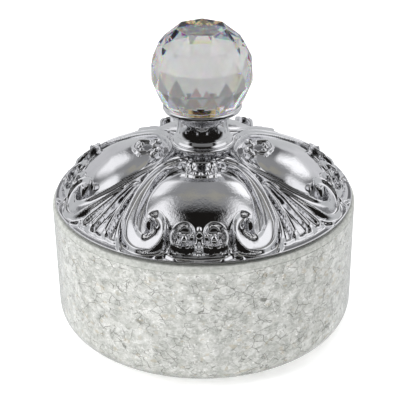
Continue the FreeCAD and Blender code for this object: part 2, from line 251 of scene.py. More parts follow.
# %% chrome: cast and turned
def cast_chrome():
    finish = Finish("cast_chrome", Metallic=1.0, Roughness=0.07)
    tarnish = finish.between(finish.noise(140, 3), 0.35, 0.75)
    finish.link(finish.blend(tarnish, (0.80, 0.80, 0.815), (0.71, 0.715, 0.73)), "Base Color")
    finish.link(finish.between(finish.noise(700, 2), 0.3, 0.8, 0.035, 0.12), "Roughness")
    patches = finish.between(finish.noise(70, 2), 0.42, 0.6, 0.25, 1.0)
    grain = finish.combine("MULTIPLY", finish.noise(1000, 3, 0.65), patches)
    finish.link(finish.bump(grain, 0.055), "Normal")
    return finish.material


def turned_chrome():
    finish = Finish("turned_chrome", Metallic=1.0, Roughness=0.05)
    finish.link(finish.blend(finish.noise(90, 2), (0.82, 0.82, 0.83), (0.74, 0.745, 0.76)), "Base Color")
    heights = finish.add("ShaderNodeMapping", {"Vector": finish.place, "Scale": (20, 20, 5000)})
    rings = finish.noise(1.0, 2, place=heights.outputs["Vector"])
    finish.link(finish.between(rings, 0.3, 0.7, 0.03, 0.09), "Roughness")
    finish.link(finish.bump(rings, 0.0015), "Normal")
    return finish.material


CAST_CHROME = cast_chrome()
TURNED_CHROME = turned_chrome()
print("finishes:", CAST_CHROME.name, TURNED_CHROME.name)

# %% [markdown]
# ## The lid's relief
#
# The real lid is one casting, so its scrolls, cushions and petals are one skin and have no joins.
# Separate ribbons laid on a dome would show a seam round each. Here the relief is a height over
# the plain dome, worked out for every point of a fine round grid, and the heights of different
# motifs are merged by taking the larger. That is how a carver builds up a wax model.
#
# The pattern repeats on four sides and each side mirrors itself, so only one eighth of the
# circle is worked out. A point of that eighth has a place across the side (x, from its middle)
# and out from the knob (p).


# %% relief: the eighth of the circle that is worked out
STEPS_PER_EIGHTH = 144
GRID_START, GRID_END = 7.0, LID_R - 0.35
# The rings lie a little closer together from here outwards, where the carving is finer.
FINE_FROM = 14.0
RINGS = np.concatenate([np.linspace(GRID_START, FINE_FROM, 26)[:-1], np.linspace(FINE_FROM, GRID_END, 172)])
SPREAD = np.linspace(0, math.pi / 4, STEPS_PER_EIGHTH + 1)
# The dome's shoulder carries the motifs outwards by up to 1.7 mm from where they are drawn.
DRAWN = RINGS - np.interp(RINGS, (30, 38, 43, 47, 49.4), (0, 0.9, 1.7, 1.2, 0))
ACROSS = DRAWN[:, None] * np.sin(SPREAD)[None, :]
OUT = DRAWN[:, None] * np.cos(SPREAD)[None, :]
FAR = np.hypot(ACROSS, OUT)
print("relief grid:", ACROSS.shape)

# %% [markdown]
# The plain dome is itself an outline: almost flat under the knob, a full shoulder, and then a
# border that is nearly level. Its corners are softened, so no ring shows as a crease.

# %% relief: the plain dome
DOME_LINE = np.array(
    [
        (0, 17.3), (8, 16.65), (14, 16.3), (20, 15.4), (26, 13.9), (32, 11.8),
        (38, 9.0), (42, 6.7), (45, 4.7), (47.5, 2.7), (49.4, 1.5), (51.6, 1.25),
    ]
)


def dome_level(far):
    """The plain dome's height over the flange, its outline softened over 3 mm."""
    fine = np.arange(-5, 60, 0.1)
    line = np.interp(np.abs(fine), DOME_LINE[:, 0], DOME_LINE[:, 1])
    window = np.hanning(31)
    soft = np.convolve(np.pad(line, 15, mode="edge"), window / window.sum(), mode="valid")
    return np.interp(far, fine, soft)


# %% [markdown]
# A scroll is a line with a width that changes along it. For each grid point the nearest place on
# the line gives two numbers: how far along the scroll it is, and how far to the side as a share
# of the half width, -1 at the inner edge and 1 at the outer. A scroll's cross-section is
# then just a height for each share: a band with raised edges, and finer ridges inside.


# %% relief: lines, scrolls and ridges
def smooth_line(knots, step=0.12):
    """A Catmull-Rom line through knots of any number of columns, the first two being x and p."""
    knots = np.asarray(knots, float)
    ends = np.vstack([2 * knots[0] - knots[1], knots, 2 * knots[-1] - knots[-2]])
    pieces = []
    for a, b, c, d in zip(ends, ends[1:], ends[2:], ends[3:]):
        t = np.linspace(0, 1, max(3, int(np.linalg.norm((c - b)[:2]) / step)), endpoint=False)[:, None]
        bend, twist = 2 * a - 5 * b + 4 * c - d, 3 * b - a - 3 * c + d
        pieces.append(0.5 * (2 * b + (c - a) * t + bend * t**2 + twist * t**3))
    return np.vstack([*pieces, knots[-1:]])


def along_scroll(knots):
    """For each grid point: share across the scroll, half width there, length along it, whole length."""
    line = smooth_line(knots)
    steps = np.diff(line[:, :2], axis=0)
    length = np.concatenate([[0], np.cumsum(np.linalg.norm(steps, axis=1))])
    heading = np.vstack([steps, steps[-1:]])
    heading /= np.linalg.norm(heading, axis=1)[:, None] + 1e-12
    places = np.column_stack([ACROSS.ravel(), OUT.ravel()])
    nearest = np.empty(len(places), int)
    for k in range(0, len(places), 4000):
        gap = places[k : k + 4000, None, :] - line[None, :, :2]
        # A wide part of the scroll claims a point before a narrow part at the same distance.
        nearest[k : k + 4000] = np.argmin((gap**2).sum(2) / line[None, :, 2] ** 0.5, axis=1)
    gap = places - line[nearest, :2]
    side = gap[:, 0] * heading[nearest, 1] - gap[:, 1] * heading[nearest, 0]
    distance = np.hypot(gap[:, 0], gap[:, 1]) * np.where(side >= 0, 1, -1)
    wide = np.maximum(line[nearest, 2], 0.05)
    shape = ACROSS.shape
    return (distance / wide).reshape(shape), wide.reshape(shape), length[nearest].reshape(shape), length[-1]


def rope(knots, height):
    """A plain round strand."""
    share = along_scroll(knots)[0]
    return height * np.sqrt(np.clip(1 - share**2, 0, None))


def ridge(share, middle, width):
    """A soft raised line of height 1."""
    return np.exp(-(((share - middle) / width) ** 2))


def fade(value, full, none):
    """1 at full and beyond, 0 at none, and a smooth step between."""
    t = np.clip((value - none) / (full - none), 0, 1)
    return t * t * (3 - 2 * t)


def bead(x, p, r, height):
    """A round pearl."""
    q = 1 - ((ACROSS - x) ** 2 + (OUT - p) ** 2) / r**2
    return height * np.sqrt(np.clip(q, 0, None))


# %% [markdown]
# Each side of the lid holds a smooth cushion. Two arms start beside the knob, sweep round the
# cushion and curl back at the bottom. An arm is a hollow band between two ridges, with short
# cuts across it. It rises as it curls, and stands lower towards the border. A thinner line runs
# beside its lower half. The ridges keep their width in millimetres while the band between
# them widens.


# %% relief: cushion and arms
LOWER = 1 - 0.5 * fade(FAR, 50.5, 45.0)


def cushion():
    """An egg shape, longer towards the knob, and fuller at its edge than a ball would be."""
    middle, half_width, tall = 31.0, 17.9, 3.7
    reach = np.where(OUT > middle, 10.5, 16.2)
    q = (np.abs(ACROSS) / half_width) ** 2 + (np.abs(OUT - middle) / reach) ** 2
    return tall * np.clip(1 - q, 0, None) ** 0.56


# Each knot of a line: across the side, out from the knob, half width.
ARM = [
    (4.0, 10.9, 1.0), (8.2, 12.6, 1.25), (12.6, 14.9, 1.5), (16.2, 19.3, 1.75), (19.2, 25.2, 2.0),
    (21.2, 30.8, 2.2), (22.1, 35.8, 2.6), (21.6, 40.0, 3.0), (19.6, 42.9, 3.1), (16.3, 43.9, 3.0),
    (13.1, 42.6, 2.6), (12.0, 39.8, 2.1), (13.2, 37.5, 1.6), (15.2, 37.0, 1.2), (16.0, 38.4, 0.9),
    (15.3, 39.3, 0.6),
]
OUTER_LINE = [
    (20.9, 25.0, 0.5), (23.2, 29.5, 0.55), (24.9, 34.0, 0.6), (25.9, 38.0, 0.65), (26.2, 41.4, 0.65),
    (25.6, 43.8, 0.5),
]


def arm():
    """The band, its two ridges and the cuts between them."""
    share, wide, along, whole = along_scroll(ARM)
    outside, inside = (1 - share) * wide, (1 + share) * wide
    curl = fade(along, whole - 8, whole - 15)
    height = 0.85 + 0.6 * share**2 + 1.7 * curl + 0.5 * fade(along, 34, 26)
    height += 1.75 * ridge(outside, 0.6, 0.5) + 1.25 * ridge(inside, 0.5, 0.42)
    cut_spacing = 1.15
    cuts = 0.5 + 0.5 * np.cos(along * 2 * math.pi / cut_spacing)
    height -= 0.45 * cuts * fade(inside, 0.9, 1.3) * fade(outside, 1.1, 1.5) * fade(-along, -22, -27)
    edge = fade(outside, 0.25, -0.1) * fade(inside, 0.25, -0.1)
    return height * edge * LOWER * (0.45 + 0.55 * fade(along, 4.0, 0.0))


def outer_line():
    return rope(OUTER_LINE, 1.6)


# %% [markdown]
# Between the two curls stands a small crown: two open rings, each with pearls, on a curved
# pedestal. At the top a pair of small curls drips on to the cushion. The drips are added to the
# cushion's height, because a larger-of-two merge would swallow anything lower than the cushion.


# %% relief: crown, pedestal and top curls
def crown():
    ring = [
        (0.9, 48.0, 0.5), (1.1, 46.4, 0.6), (3.0, 46.9, 0.7), (5.4, 46.9, 0.75), (7.7, 45.9, 0.8),
        (8.9, 43.6, 0.8), (8.4, 41.2, 0.75), (6.6, 39.6, 0.7), (4.3, 39.3, 0.65), (2.4, 40.3, 0.55),
        (1.7, 42.0, 0.5),
    ]
    height = rope(ring, 2.9)
    for x, p, r, tall in (
        (4.7, 43.2, 1.45, 2.3), (2.3, 42.6, 1.0, 2.3), (6.4, 41.4, 0.95, 1.9), (3.4, 45.2, 0.85, 1.7),
        (6.8, 44.2, 0.9, 1.8), (0.0, 40.4, 1.0, 2.0), (0.0, 44.6, 0.8, 1.8),
    ):
        height = np.maximum(height, bead(x, p, r, tall))
    return height


def pedestal():
    curve = 49.2 - (ACROSS / 9.4) ** 2 * 1.5
    rail = 1.25 * ridge(OUT, curve, 0.42) * fade(-ACROSS, -9.0, -10.0)
    stem = 1.3 * ridge(ACROSS, 0.0, 0.6) * fade(OUT, 45.5, 44.8) * fade(-OUT, -49.4, -50.0)
    hook = rope([(9.0, 48.0, 0.5), (10.0, 46.8, 0.6), (9.7, 45.4, 0.6)], 1.3)
    foot = rope([(10.4, 47.4, 0.9), (12.2, 48.4, 0.8), (14.2, 48.9, 0.5)], 0.9)
    toe = rope([(10.2, 48.2, 0.8), (8.6, 49.6, 0.6), (7.4, 50.4, 0.4)], 0.7)
    return np.maximum.reduce([rail, stem, hook, foot, toe])


def top_curls():
    """A curl's height, and apart from it the drips that are added."""
    x, p, tall = 3.4, 16.2, 1.9
    away = np.hypot(ACROSS - x, OUT - p)
    disc = fade(-away, -2.1, -2.5)
    height = (tall + 0.9 * ridge(away, 1.75, 0.42)) * disc
    height = np.maximum(height, tall * disc + bead(x, p, 0.95, 1.1))
    height = np.maximum(height, rope([(0.0, 10.6, 0.6), (3.5, 11.2, 0.65), (6.4, 12.6, 0.6)], 1.6))
    drip = rope([(4.2, 18.4, 0.7), (4.6, 20.2, 0.8), (4.7, 21.8, 0.75), (4.5, 22.6, 0.5)], 0.9)
    swag = rope([(0.0, 23.6, 0.7), (2.4, 23.2, 0.65), (4.6, 22.0, 0.6), (6.4, 21.4, 0.4)], 0.7)
    pearls = np.maximum(bead(0.0, 21.6, 0.8, 0.8), bead(2.2, 21.0, 0.7, 0.7))
    return height, np.maximum.reduce([drip, swag, pearls])


# %% [markdown]
# Where two sides meet, a fan of petals grows out from between the arms. On either side of the
# corner a stout grooved petal and a thinner one each end in a pearl by the border, and a low
# line joins their tips. Close to the knob a small shell fills the same gap, its ribs spreading
# towards the knob.


# %% relief: petals and shell
def from_corner(far, degrees):
    """A place given from the line at 45 degrees."""
    turn = math.radians(45 - degrees)
    return far * math.sin(turn), far * math.cos(turn)


PETAL_ROOT, ROOT_WIDE = 26.0, 0.55
# Each petal: degrees from the corner at its root and tip, how far out it ends, half width, height.
PETALS = ((1.2, 4.4, 47.0, 1.5, 2.3), (3.4, 10.2, 46.8, 0.75, 1.7))


def petals():
    height = np.zeros_like(ACROSS)
    for start, end, reach, wide, tall in PETALS:
        knots = []
        for t in np.linspace(0, 1, 7):
            place = from_corner(PETAL_ROOT + (reach - PETAL_ROOT) * t, start + (end - start) * t**1.3)
            knots.append((*place, ROOT_WIDE + (wide - ROOT_WIDE) * t**1.5))
        share, side, along = along_scroll(knots)[:3]
        groove = 0.5 * ridge(share, 0, 0.35) * fade(side, 1.2, 0.85)
        rib = tall * (np.sqrt(np.clip(1 - share**2, 0, None)) - groove) * fade(along, 5, 0) * LOWER
        height = np.maximum(height, rib)
        height = np.maximum(height, bead(*knots[-1][:2], wide * 1.2, tall * 0.85))
    tips = ((48.6, 0), (48.9, 3), (48.3, 6.5), (48.7, 9.5), (48.0, 11.5))
    return np.maximum(height, rope([(*from_corner(far, turn), 0.55) for far, turn in tips], 0.9))


def shell():
    """Ribs that spread from a point, and one vein that runs on outwards."""
    tip = from_corner(18.4, 0)
    back, side = (tip[0] - ACROSS + tip[1] - OUT) / math.sqrt(2), (OUT - ACROSS) / math.sqrt(2)
    away, turn = np.hypot(ACROSS - tip[0], OUT - tip[1]), np.arctan2(np.abs(side), back)
    rib_angle = math.radians(20)
    ribs = 1.0 + 1.3 * np.abs(np.cos(turn * math.pi / rib_angle))
    inside = fade(-turn, -math.radians(36), -math.radians(42)) * fade(-away, -8.8, -9.4)
    vein = rope([(*from_corner(far, 0), 0.45) for far in (17, 20, 23, 26)], 1.2)
    return np.maximum(ribs * inside * fade(away, 1.2, 0.2), vein)


# %% [markdown]
# The motifs are merged, softened by a hair as plating does, and laid on the dome. Where no
# motif stands the ground is sunk a little, so that the hollows show dark, and the border stays
# plain.


# %% relief: merge
def soften_grid(height, passes):
    """Each pass blends a point with its four neighbours. The first and last columns are mirrors."""
    for _ in range(passes):
        padded = np.pad(height, 1, mode="edge")
        padded[:, 0], padded[:, -1] = padded[:, 2], padded[:, -3]
        neighbours = padded[:-2, 1:-1] + padded[2:, 1:-1] + padded[1:-1, :-2] + padded[1:-1, 2:]
        height = 0.5 * height + 0.125 * neighbours
    return height


def relief():
    curls, drips = top_curls()
    motifs = [cushion(), arm(), outer_line(), crown(), pedestal(), curls, petals(), shell()]
    height = np.maximum.reduce(motifs)
    shallow, sunk = 0.8, 0.7
    hollow = np.clip(1 - height / shallow, 0, 1) * fade(FAR, 22, 17) * fade(-FAR, -46.0, -48.2)
    height = soften_grid(height + drips - sunk * hollow, 2)
    border = fade(-FAR, -(GRID_END - 0.3), -GRID_END)
    return height * border * fade(FAR, 8.6, 7.8)


RELIEF = relief()
print("relief stands up to", round(float(RELIEF.max()), 2), "mm")


# %% [markdown]
# The eighth is mirrored into a quarter and repeated four times. A few more rings go round the
# lid's edge and back inside, and close the casting, which is hollow and 2 to 3 mm thick.


# %% lid casting: the whole skin
LID_BORE_R = 2.4


def lid_casting():
    eighth = FLANGE + dome_level(RINGS)[:, None] + RELIEF
    quarter = np.concatenate([eighth[:, :-1], eighth[:, :0:-1]], axis=1)
    levels = np.tile(quarter, (1, 4))
    steps = levels.shape[1]
    edge = [(LID_R - 0.12, 1.22), (LID_R, 1.05), (LID_R - 0.2, 0.75), (LID_R - 1.0, 0)]
    inside = [(44.6, 0), (44.6, 1.2), (36, 7.0), (24, 12.2), (12, 14.2), (LID_BORE_R, 14.4)]
    plain_rings = [(r, FLANGE + rise) for r, rise in edge + inside] + [(LID_BORE_R, DOME_TOP)]
    far = np.concatenate([RINGS, [r for r, _ in plain_rings]])
    levels = np.vstack([levels, [[z] * steps for _, z in plain_rings]])
    turn = np.arange(steps) * 2 * math.pi / steps - math.pi / 2
    points = np.stack([far[:, None] * np.cos(turn), far[:, None] * np.sin(turn), levels], axis=2)
    rows = len(far)
    index = np.arange(rows * steps).reshape(rows, steps)
    below = np.roll(index, -1, axis=0)
    faces = np.stack([index, np.roll(index, -1, 1), np.roll(below, -1, 1), below], axis=2)
    return mesh_piece("lid_relief", points.reshape(-1, 3), faces.reshape(-1, 4).tolist(), crease=75)


lid = lid_casting()
dress(lid, CAST_CHROME)
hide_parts("lid_casting")
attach(lid, "lid")
print("lid faces:", len(lid.data.polygons))

# %% [markdown]
# ## The knob's turned seat
#
# The seat is turned brass, plated. It is a ring on the dome, a wide rounded disc, a hollow cone, a
# neck and a thin flared cup. A lathe is the natural tool here too: one outline for each part.


# %% knob base and cup
SEAT_BORE_R = 2.3
# The base stops a hair short of the cup's foot, so the two faces don't lie in one place.
SEAT_GAP = 0.05


def knob_base():
    z, top = DOME_TOP, NECK_FOOT - SEAT_GAP
    outline = rounded_outline(
        [
            (SEAT_BORE_R, z), (7.9, z, 0.2), (7.9, z + 0.9, 0.15), (7.3, z + 1.1, 0.1), (7.3, z + 1.7, 0.1),
            (8.3, z + 2.0, 0.25), (8.3, z + 2.5, 0.2), (10.9, z + 2.6, 0.9), (10.9, z + 4.5, 0.85),
            (9.9, z + 4.6, 0.12), (10.15, z + 5.0, 0.2), (9.6, z + 5.7, 0.8), (9.15, top, 0.1),
            (SEAT_BORE_R, top),
        ]
    )
    return turned("knob_base_turned", outline, crease=50)


def knob_cup():
    z, seat, lip = NECK_FOOT, level("crystal_ball", 0), level("knob_cup", 1)
    flare = [
        (9.1, z), (8.95, z + 0.5), (8.8, z + 1.3), (8.8, z + 5.4),
        (9.0, z + 6.2), (9.6, z + 7.0), (10.5, z + 7.65), (11.6, z + 8.3),
    ]
    roll = [
        (12.6, lip - 2.1), (13.2, lip - 1.75), (13.5, lip - 1.2),
        (13.5, lip - 0.6), (13.3, lip - 0.15), (13.0, lip),
    ]
    inner = [
        (12.7, lip - 0.1), (12.6, lip - 0.5), (11.5, lip - 1.5),
        (10.3, seat + 0.7), (9.0, seat), (SEAT_BORE_R, seat),
    ]
    return turned("knob_cup_turned", [(SEAT_BORE_R, z), *flare, *roll, *inner], crease=55)


for make, node in ((knob_base, "knob_base"), (knob_cup, "knob_cup")):
    piece = make()
    dress(piece, TURNED_CHROME)
    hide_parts(node)
    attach(piece, "lid")
    print(piece.name, len(piece.data.polygons), "faces")

# %% [markdown]
# ## The crystal ball
#
# The ball is cut glass. Its corners lie on six rings, and the flat facets are what make it
# sparkle, so it must not be shaded smooth. A hull through the corners gives the facets, and a
# very small bevel gives the fine bright lines that polished edges have. Real crystal splits
# light into colours, because blue bends more than red. Three glass shaders, one for each
# primary colour and each bending a little more, add up to the same effect. Most of the ball's
# light stays together, so they are only a share of it, and plain glass is the rest. The ball
# is left out of the metal's reflections, where its split colours would show as stray specks.


# %% crystal finish
def crystal_finish():
    split_share = 0.3
    finish = Finish("crystal")
    tint = finish.between(finish.noise(60, 2), 0.3, 0.7, 0.93, 0.97)

    def glass(red, green, blue, bend):
        parts = [finish.combine("MULTIPLY", tint, part) for part in (red, green, blue)]
        shade = finish.add("ShaderNodeCombineColor", dict(zip(("Red", "Green", "Blue"), parts))).outputs[0]
        return finish.add("ShaderNodeBsdfGlass", {"Color": shade, "Roughness": 0.0, "IOR": bend}).outputs[0]

    red, green, blue = glass(1.0, 0.0, 0.0, 1.49), glass(0.0, 1.0, 0.0, 1.53), glass(0.0, 0.0, 1.0, 1.57)
    pair = finish.add("ShaderNodeAddShader", {0: red, 1: green}).outputs[0]
    split = finish.add("ShaderNodeAddShader", {0: pair, 1: blue}).outputs[0]
    wiring = {0: split_share, 1: glass(1.0, 1.0, 1.0, 1.53), 2: split}
    whole = finish.add("ShaderNodeMixShader", wiring).outputs[0]
    finish.tree.links.new(whole, finish.output.inputs["Surface"])
    finish.tree.nodes.remove(finish.shader)
    return finish.material


# %% crystal ball
BELT_CORNERS, CAP_CORNERS = 14, 7
HALF_STEP = 180 / BELT_CORNERS
# Each ring of corners: its latitude in degrees, how many corners, and where the first one stands.
BALL_RINGS = (
    (CAP_LATITUDE, CAP_CORNERS, 0), (36, BELT_CORNERS, HALF_STEP), (12, BELT_CORNERS, 0),
    (-12, BELT_CORNERS, HALF_STEP), (-36, BELT_CORNERS, 0), (-CAP_LATITUDE, CAP_CORNERS, -HALF_STEP),
)


# How far the polished edges cut into each facet.
EDGE_POLISH = 0.10


def crystal_ball():
    corners = []
    for latitude, count, start in BALL_RINGS:
        flat = BALL_R * math.cos(math.radians(latitude))
        rise = BALL_R * math.sin(math.radians(latitude))
        for i in range(count):
            turn = math.radians(start + 360 / count * i + 90)
            corners.append((flat * math.cos(turn), flat * math.sin(turn), BALL_Z + rise))
    shaped = bmesh.new()
    for corner in corners:
        shaped.verts.new(Vector(corner) * MM)
    bmesh.ops.convex_hull(shaped, input=shaped.verts)
    bmesh.ops.dissolve_limit(shaped, angle_limit=math.radians(1.5), verts=shaped.verts, edges=shaped.edges)
    facets = len(shaped.faces)
    edges = shaped.edges[:]
    bmesh.ops.bevel(shaped, geom=edges, offset=EDGE_POLISH * MM, segments=1, affect="EDGES", profile=0.5)
    bmesh.ops.recalc_face_normals(shaped, faces=shaped.faces)
    mesh = bpy.data.meshes.new("crystal_ball_cut")
    shaped.to_mesh(mesh)
    shaped.free()
    ball = bpy.data.objects.new("crystal_ball_cut", mesh)
    bpy.context.scene.collection.objects.link(ball)
    print("crystal ball:", facets, "facets")
    return ball


ball = crystal_ball()
dress(ball, crystal_finish())
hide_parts("crystal_ball")
ball.visible_glossy = False
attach(ball, "lid")

# %% [markdown]
# ## The crackle glass
#
# Crackle glass is heated and dipped in cold water, and the shock crazes it all through. Light
# catches on thousands of small fracture faces, so it looks pale and milky with fine
# dark hairlines. The wall isn't solid white: some light passes straight through. The jacket is a
# thick cup whose finish lets part of the light by, and because the pattern is three-dimensional the
# inner face shows other cracks than the outer one, which gives the wall its depth.
#
# Cell patterns give all of it. The distance to a cell's edge draws a crack, a cell's own random
# colour shades a shard, and the distance to a cell's middle draws a speck, or a spark that is a
# painted glint of light off a fracture face.


# %% helpers: spots, and glass that lets light by
def spots(finish, scale, pick_from, pick_to, near, far):
    """Round spots in the few cells whose random value is high."""
    cells = finish.add("ShaderNodeTexVoronoi", {"Vector": finish.place, "Scale": scale})
    pick = finish.add("ShaderNodeSeparateColor", {"Color": cells.outputs["Color"]}).outputs["Red"]
    spot = finish.between(cells.outputs["Distance"], near, far, 1.0, 0.0)
    return finish.combine("MULTIPLY", finish.between(pick, pick_from, pick_to), spot)


def let_light_by(finish, solid, tint):
    """Where solid is below 1, the rest of the light goes straight through."""
    through = finish.add("ShaderNodeBsdfTransparent", {"Color": (*tint, 1)}).outputs[0]
    wiring = {0: solid, 1: through, 2: finish.shader.outputs[0]}
    mixed = finish.add("ShaderNodeMixShader", wiring).outputs[0]
    finish.tree.links.new(mixed, finish.output.inputs["Surface"])


# %% crackle finish
def crackle_finish():
    finish = Finish("crackle_glass", Roughness=0.22, IOR=1.5, Coat_Weight=1.0, Coat_Roughness=0.04)
    wander = finish.add("ShaderNodeTexNoise", {"Vector": finish.place, "Scale": 230, "Detail": 2})
    shift = {0: wander.outputs["Color"], 1: (0.0024, 0.0024, 0.0024)}
    push = finish.add("ShaderNodeVectorMath", shift, operation="MULTIPLY")
    bent = finish.add("ShaderNodeVectorMath", {0: finish.place, 1: push.outputs[0]}, operation="ADD")
    layered = finish.add("ShaderNodeMapping", {"Vector": bent.outputs[0], "Scale": (1, 1, 1.5)}).outputs[0]

    def cracks(scale, width, seen_scale, low, high):
        """Lines round the cells, seen only in patches."""
        wiring = {"Vector": layered, "Scale": scale}
        cells = finish.add("ShaderNodeTexVoronoi", wiring, feature="DISTANCE_TO_EDGE")
        line = finish.between(cells.outputs["Distance"], 0.0, width, 1.0, 0.0)
        return finish.combine("MULTIPLY", line, finish.between(finish.noise(seen_scale, 2), low, high))

    shards = finish.add("ShaderNodeTexVoronoi", {"Vector": layered, "Scale": 620})
    spread = finish.add("ShaderNodeSeparateColor", {"Color": shards.outputs["Color"]})
    cloud = finish.between(finish.noise(230, 3), 0.35, 0.68)
    frost = finish.between(finish.noise(1100, 3, 0.7), 0.42, 0.66, 0.0, 0.7)
    bright_shards = finish.between(spread.outputs["Red"], 0.5, 1.0, 0.0, 0.6)
    tan_flecks = finish.between(spread.outputs["Green"], 0.94, 0.97, 0.0, 0.55)
    wide_hair, fine_hair = cracks(210, 0.034, 200, 0.47, 0.53), cracks(420, 0.05, 260, 0.56, 0.60)
    hair = finish.combine("MAXIMUM", wide_hair, fine_hair)
    body = finish.blend(cloud, (0.50, 0.51, 0.475), (0.66, 0.665, 0.63))
    for share, colour in (
        (frost, (0.88, 0.885, 0.85)),
        (bright_shards, (0.93, 0.935, 0.91)),
        (tan_flecks, (0.60, 0.53, 0.40)),
        (cracks(520, 0.06, 330, 0.46, 0.56), (1.0, 1.0, 0.98)),
        (finish.combine("MULTIPLY", hair, 0.9), (0.17, 0.17, 0.15)),
        # The white spots below are painted sparks: a painted glint of light off fracture faces.
        (spots(finish, 620, 0.6, 0.65, 0.1, 0.3), (1.0, 1.0, 0.98)),
        (spots(finish, 130, 0.975, 0.98, 0.05, 0.09), (0.42, 0.14, 0.03)),
    ):
        body = finish.blend(share, body, colour)
    finish.link(body, "Base Color")
    finish.link(finish.bump(spread.outputs["Blue"], 0.05, 0.5), "Normal")
    height = finish.add("ShaderNodeSeparateXYZ", {"Vector": finish.place}).outputs["Z"]
    milk, foot = finish.between(cloud, 0.0, 1.0, 0.70, 0.92), finish.between(height, 0.001, 0.009, 0.8, 1.0)
    solid = finish.combine("MAXIMUM", finish.combine("MULTIPLY", milk, foot), hair)
    let_light_by(finish, solid, (0.93, 0.95, 0.92))
    return finish.material


# %% [markdown]
# The jacket's outline is read from its CAD box. Its outside keeps a slight draft, narrower at
# the foot, so that the glass leaves its mould, and the bottom corner is well rounded.


# %% crackle jacket
JACKET_LOW, JACKET_HIGH = level("crackle_jacket", 0), level("crackle_jacket", 1)
BASE_R, CORNER_R, INNER_CORNER_R = 51.9, 8.6, 7.0
WALL, FLOOR = 3.4, 3.2


def crackle_jacket():
    outline = rounded_outline(
        [
            (0, JACKET_LOW), (BASE_R, JACKET_LOW, CORNER_R), (BOX_R - 0.035, JACKET_HIGH),
            (BASE_R - WALL, JACKET_HIGH), (BASE_R - WALL, JACKET_LOW + FLOOR, INNER_CORNER_R),
            (0, JACKET_LOW + FLOOR),
        ],
        steps=14,
    )
    return turned("crackle_jacket_wall", outline, steps=256)


jacket = crackle_jacket()
dress(jacket, crackle_finish())
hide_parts("crackle_jacket")
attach(jacket, "base")
print("jacket faces:", len(jacket.data.polygons))

# %% [markdown]
# ## The clear bowl and its lip
#
# Inside the jacket is a plain clear bowl. Its lip turns out over the jacket and is the
# thin pale band under the lid, so the finish is almost solid there and nearly clear below. The
# bowl is kept a twentieth of a millimetre clear of the jacket, because two glass faces in one
# place confuse a renderer.


# %% clear bowl
def clear_glass_finish():
    finish = Finish("clear_glass", Roughness=0.10, IOR=1.45)
    grain = finish.between(finish.noise(700, 4, 0.7), 0.3, 0.65)
    finish.link(finish.blend(grain, (0.50, 0.51, 0.475), (0.84, 0.85, 0.81)), "Base Color")
    finish.link(finish.bump(grain, 0.03), "Normal")
    height = finish.add("ShaderNodeSeparateXYZ", {"Vector": finish.place}).outputs["Z"]
    lip_foot, lip_full = (RIM - 2.6) * MM, (RIM - 1.9) * MM
    let_light_by(finish, finish.between(height, lip_foot, lip_full, 0.10, 0.72), (0.93, 0.96, 0.94))
    return finish.material


def clear_bowl():
    gap, wall = 0.05, 2.0
    outside, floor_low = BASE_R - WALL - gap, JACKET_LOW + FLOOR + gap
    inside, floor_high = BASE_R - WALL - wall, floor_low + 3
    outline = rounded_outline(
        [
            (0, floor_low), (outside, floor_low, INNER_CORNER_R), (outside, JACKET_HIGH + gap),
            (BOX_R - 0.04, JACKET_HIGH + gap, 0.15), (BOX_R, RIM, 1.0), (inside, RIM, 0.6),
            (inside, floor_high, 5.0), (0, floor_high),
        ],
        steps=8,
    )
    return turned("clear_bowl_wall", outline, steps=256)


bowl = clear_bowl()
dress(bowl, clear_glass_finish())
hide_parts("glass_bowl")
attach(bowl, "base")
print("bowl faces:", len(bowl.data.polygons))

# %% [markdown]
# ## What is under the lid
#
# Lifting the lid shows its plug, the seal ring and the washer and nut that hold the knob. The
# CAD shapes are right as they are, so they stay and only get finishes. So do the stud and the
# brass bush, which show through the crystal from some sides, and the small feet underneath.


# %% finishes for the CAD pieces
def plain_metal(name, colour, roughness, scale):
    finish = Finish(name, Metallic=1.0, Roughness=roughness)
    darker = tuple(c * 0.88 for c in colour)
    finish.link(finish.blend(finish.noise(scale, 3), colour, darker), "Base Color")
    wear = finish.between(finish.noise(scale * 4, 2), 0.3, 0.7, roughness * 0.7, roughness * 1.4)
    finish.link(wear, "Roughness")
    finish.link(finish.bump(finish.noise(scale * 6, 2), 0.004), "Normal")
    return finish.material


def soft_clear(name, colour):
    finish = Finish(name, Roughness=0.3, IOR=1.42, Transmission_Weight=0.6)
    finish.link(finish.blend(finish.noise(200, 2), colour, tuple(c * 0.94 for c in colour)), "Base Color")
    finish.link(finish.bump(finish.noise(900, 2), 0.01), "Normal")
    return finish.material


dress_cad("locating_plug", plain_metal("plug_plate", (0.72, 0.72, 0.73), 0.14, 150))
dress_cad("ball_bush", plain_metal("bush_brass", (0.78, 0.62, 0.32), 0.2, 300))
STEEL = plain_metal("steel_hardware", (0.62, 0.62, 0.64), 0.28, 300)
for node in ("knob_stud", "flat_washer", "hex_nut"):
    dress_cad(node, STEEL)
dress_cad("seal_ring", soft_clear("seal", (0.82, 0.84, 0.83)))
BUMPER = soft_clear("bumper", (0.86, 0.88, 0.87))
for node in nodes:
    if node.startswith("bumper_foot"):
        dress_cad(node, BUMPER)

# %% [markdown]
# ## Floor and light
#
# Chrome is only as good as what it reflects, so the room matters as much as the metal. The
# floor is plain and pale, and glows a little, so that it stays even under the box. It is left
# out of the metal's reflections and of what the crystal shows, because it would fill both
# with white.


# %% floor
def pale_floor():
    size = 3000
    corners = [(-size, -size, 0), (size, -size, 0), (size, size, 0), (-size, size, 0)]
    floor = mesh_piece("floor", corners, [(0, 1, 2, 3)])
    finish = Finish("floor_white", Roughness=0.7, Emission_Color=(1, 1, 1, 1), Emission_Strength=0.45)
    finish.link(finish.blend(finish.noise(2, 2), (0.95, 0.95, 0.95), (0.93, 0.93, 0.93)), "Base Color")
    dress(floor, finish.material)
    floor.visible_glossy = False
    floor.visible_transmission = False


pale_floor()


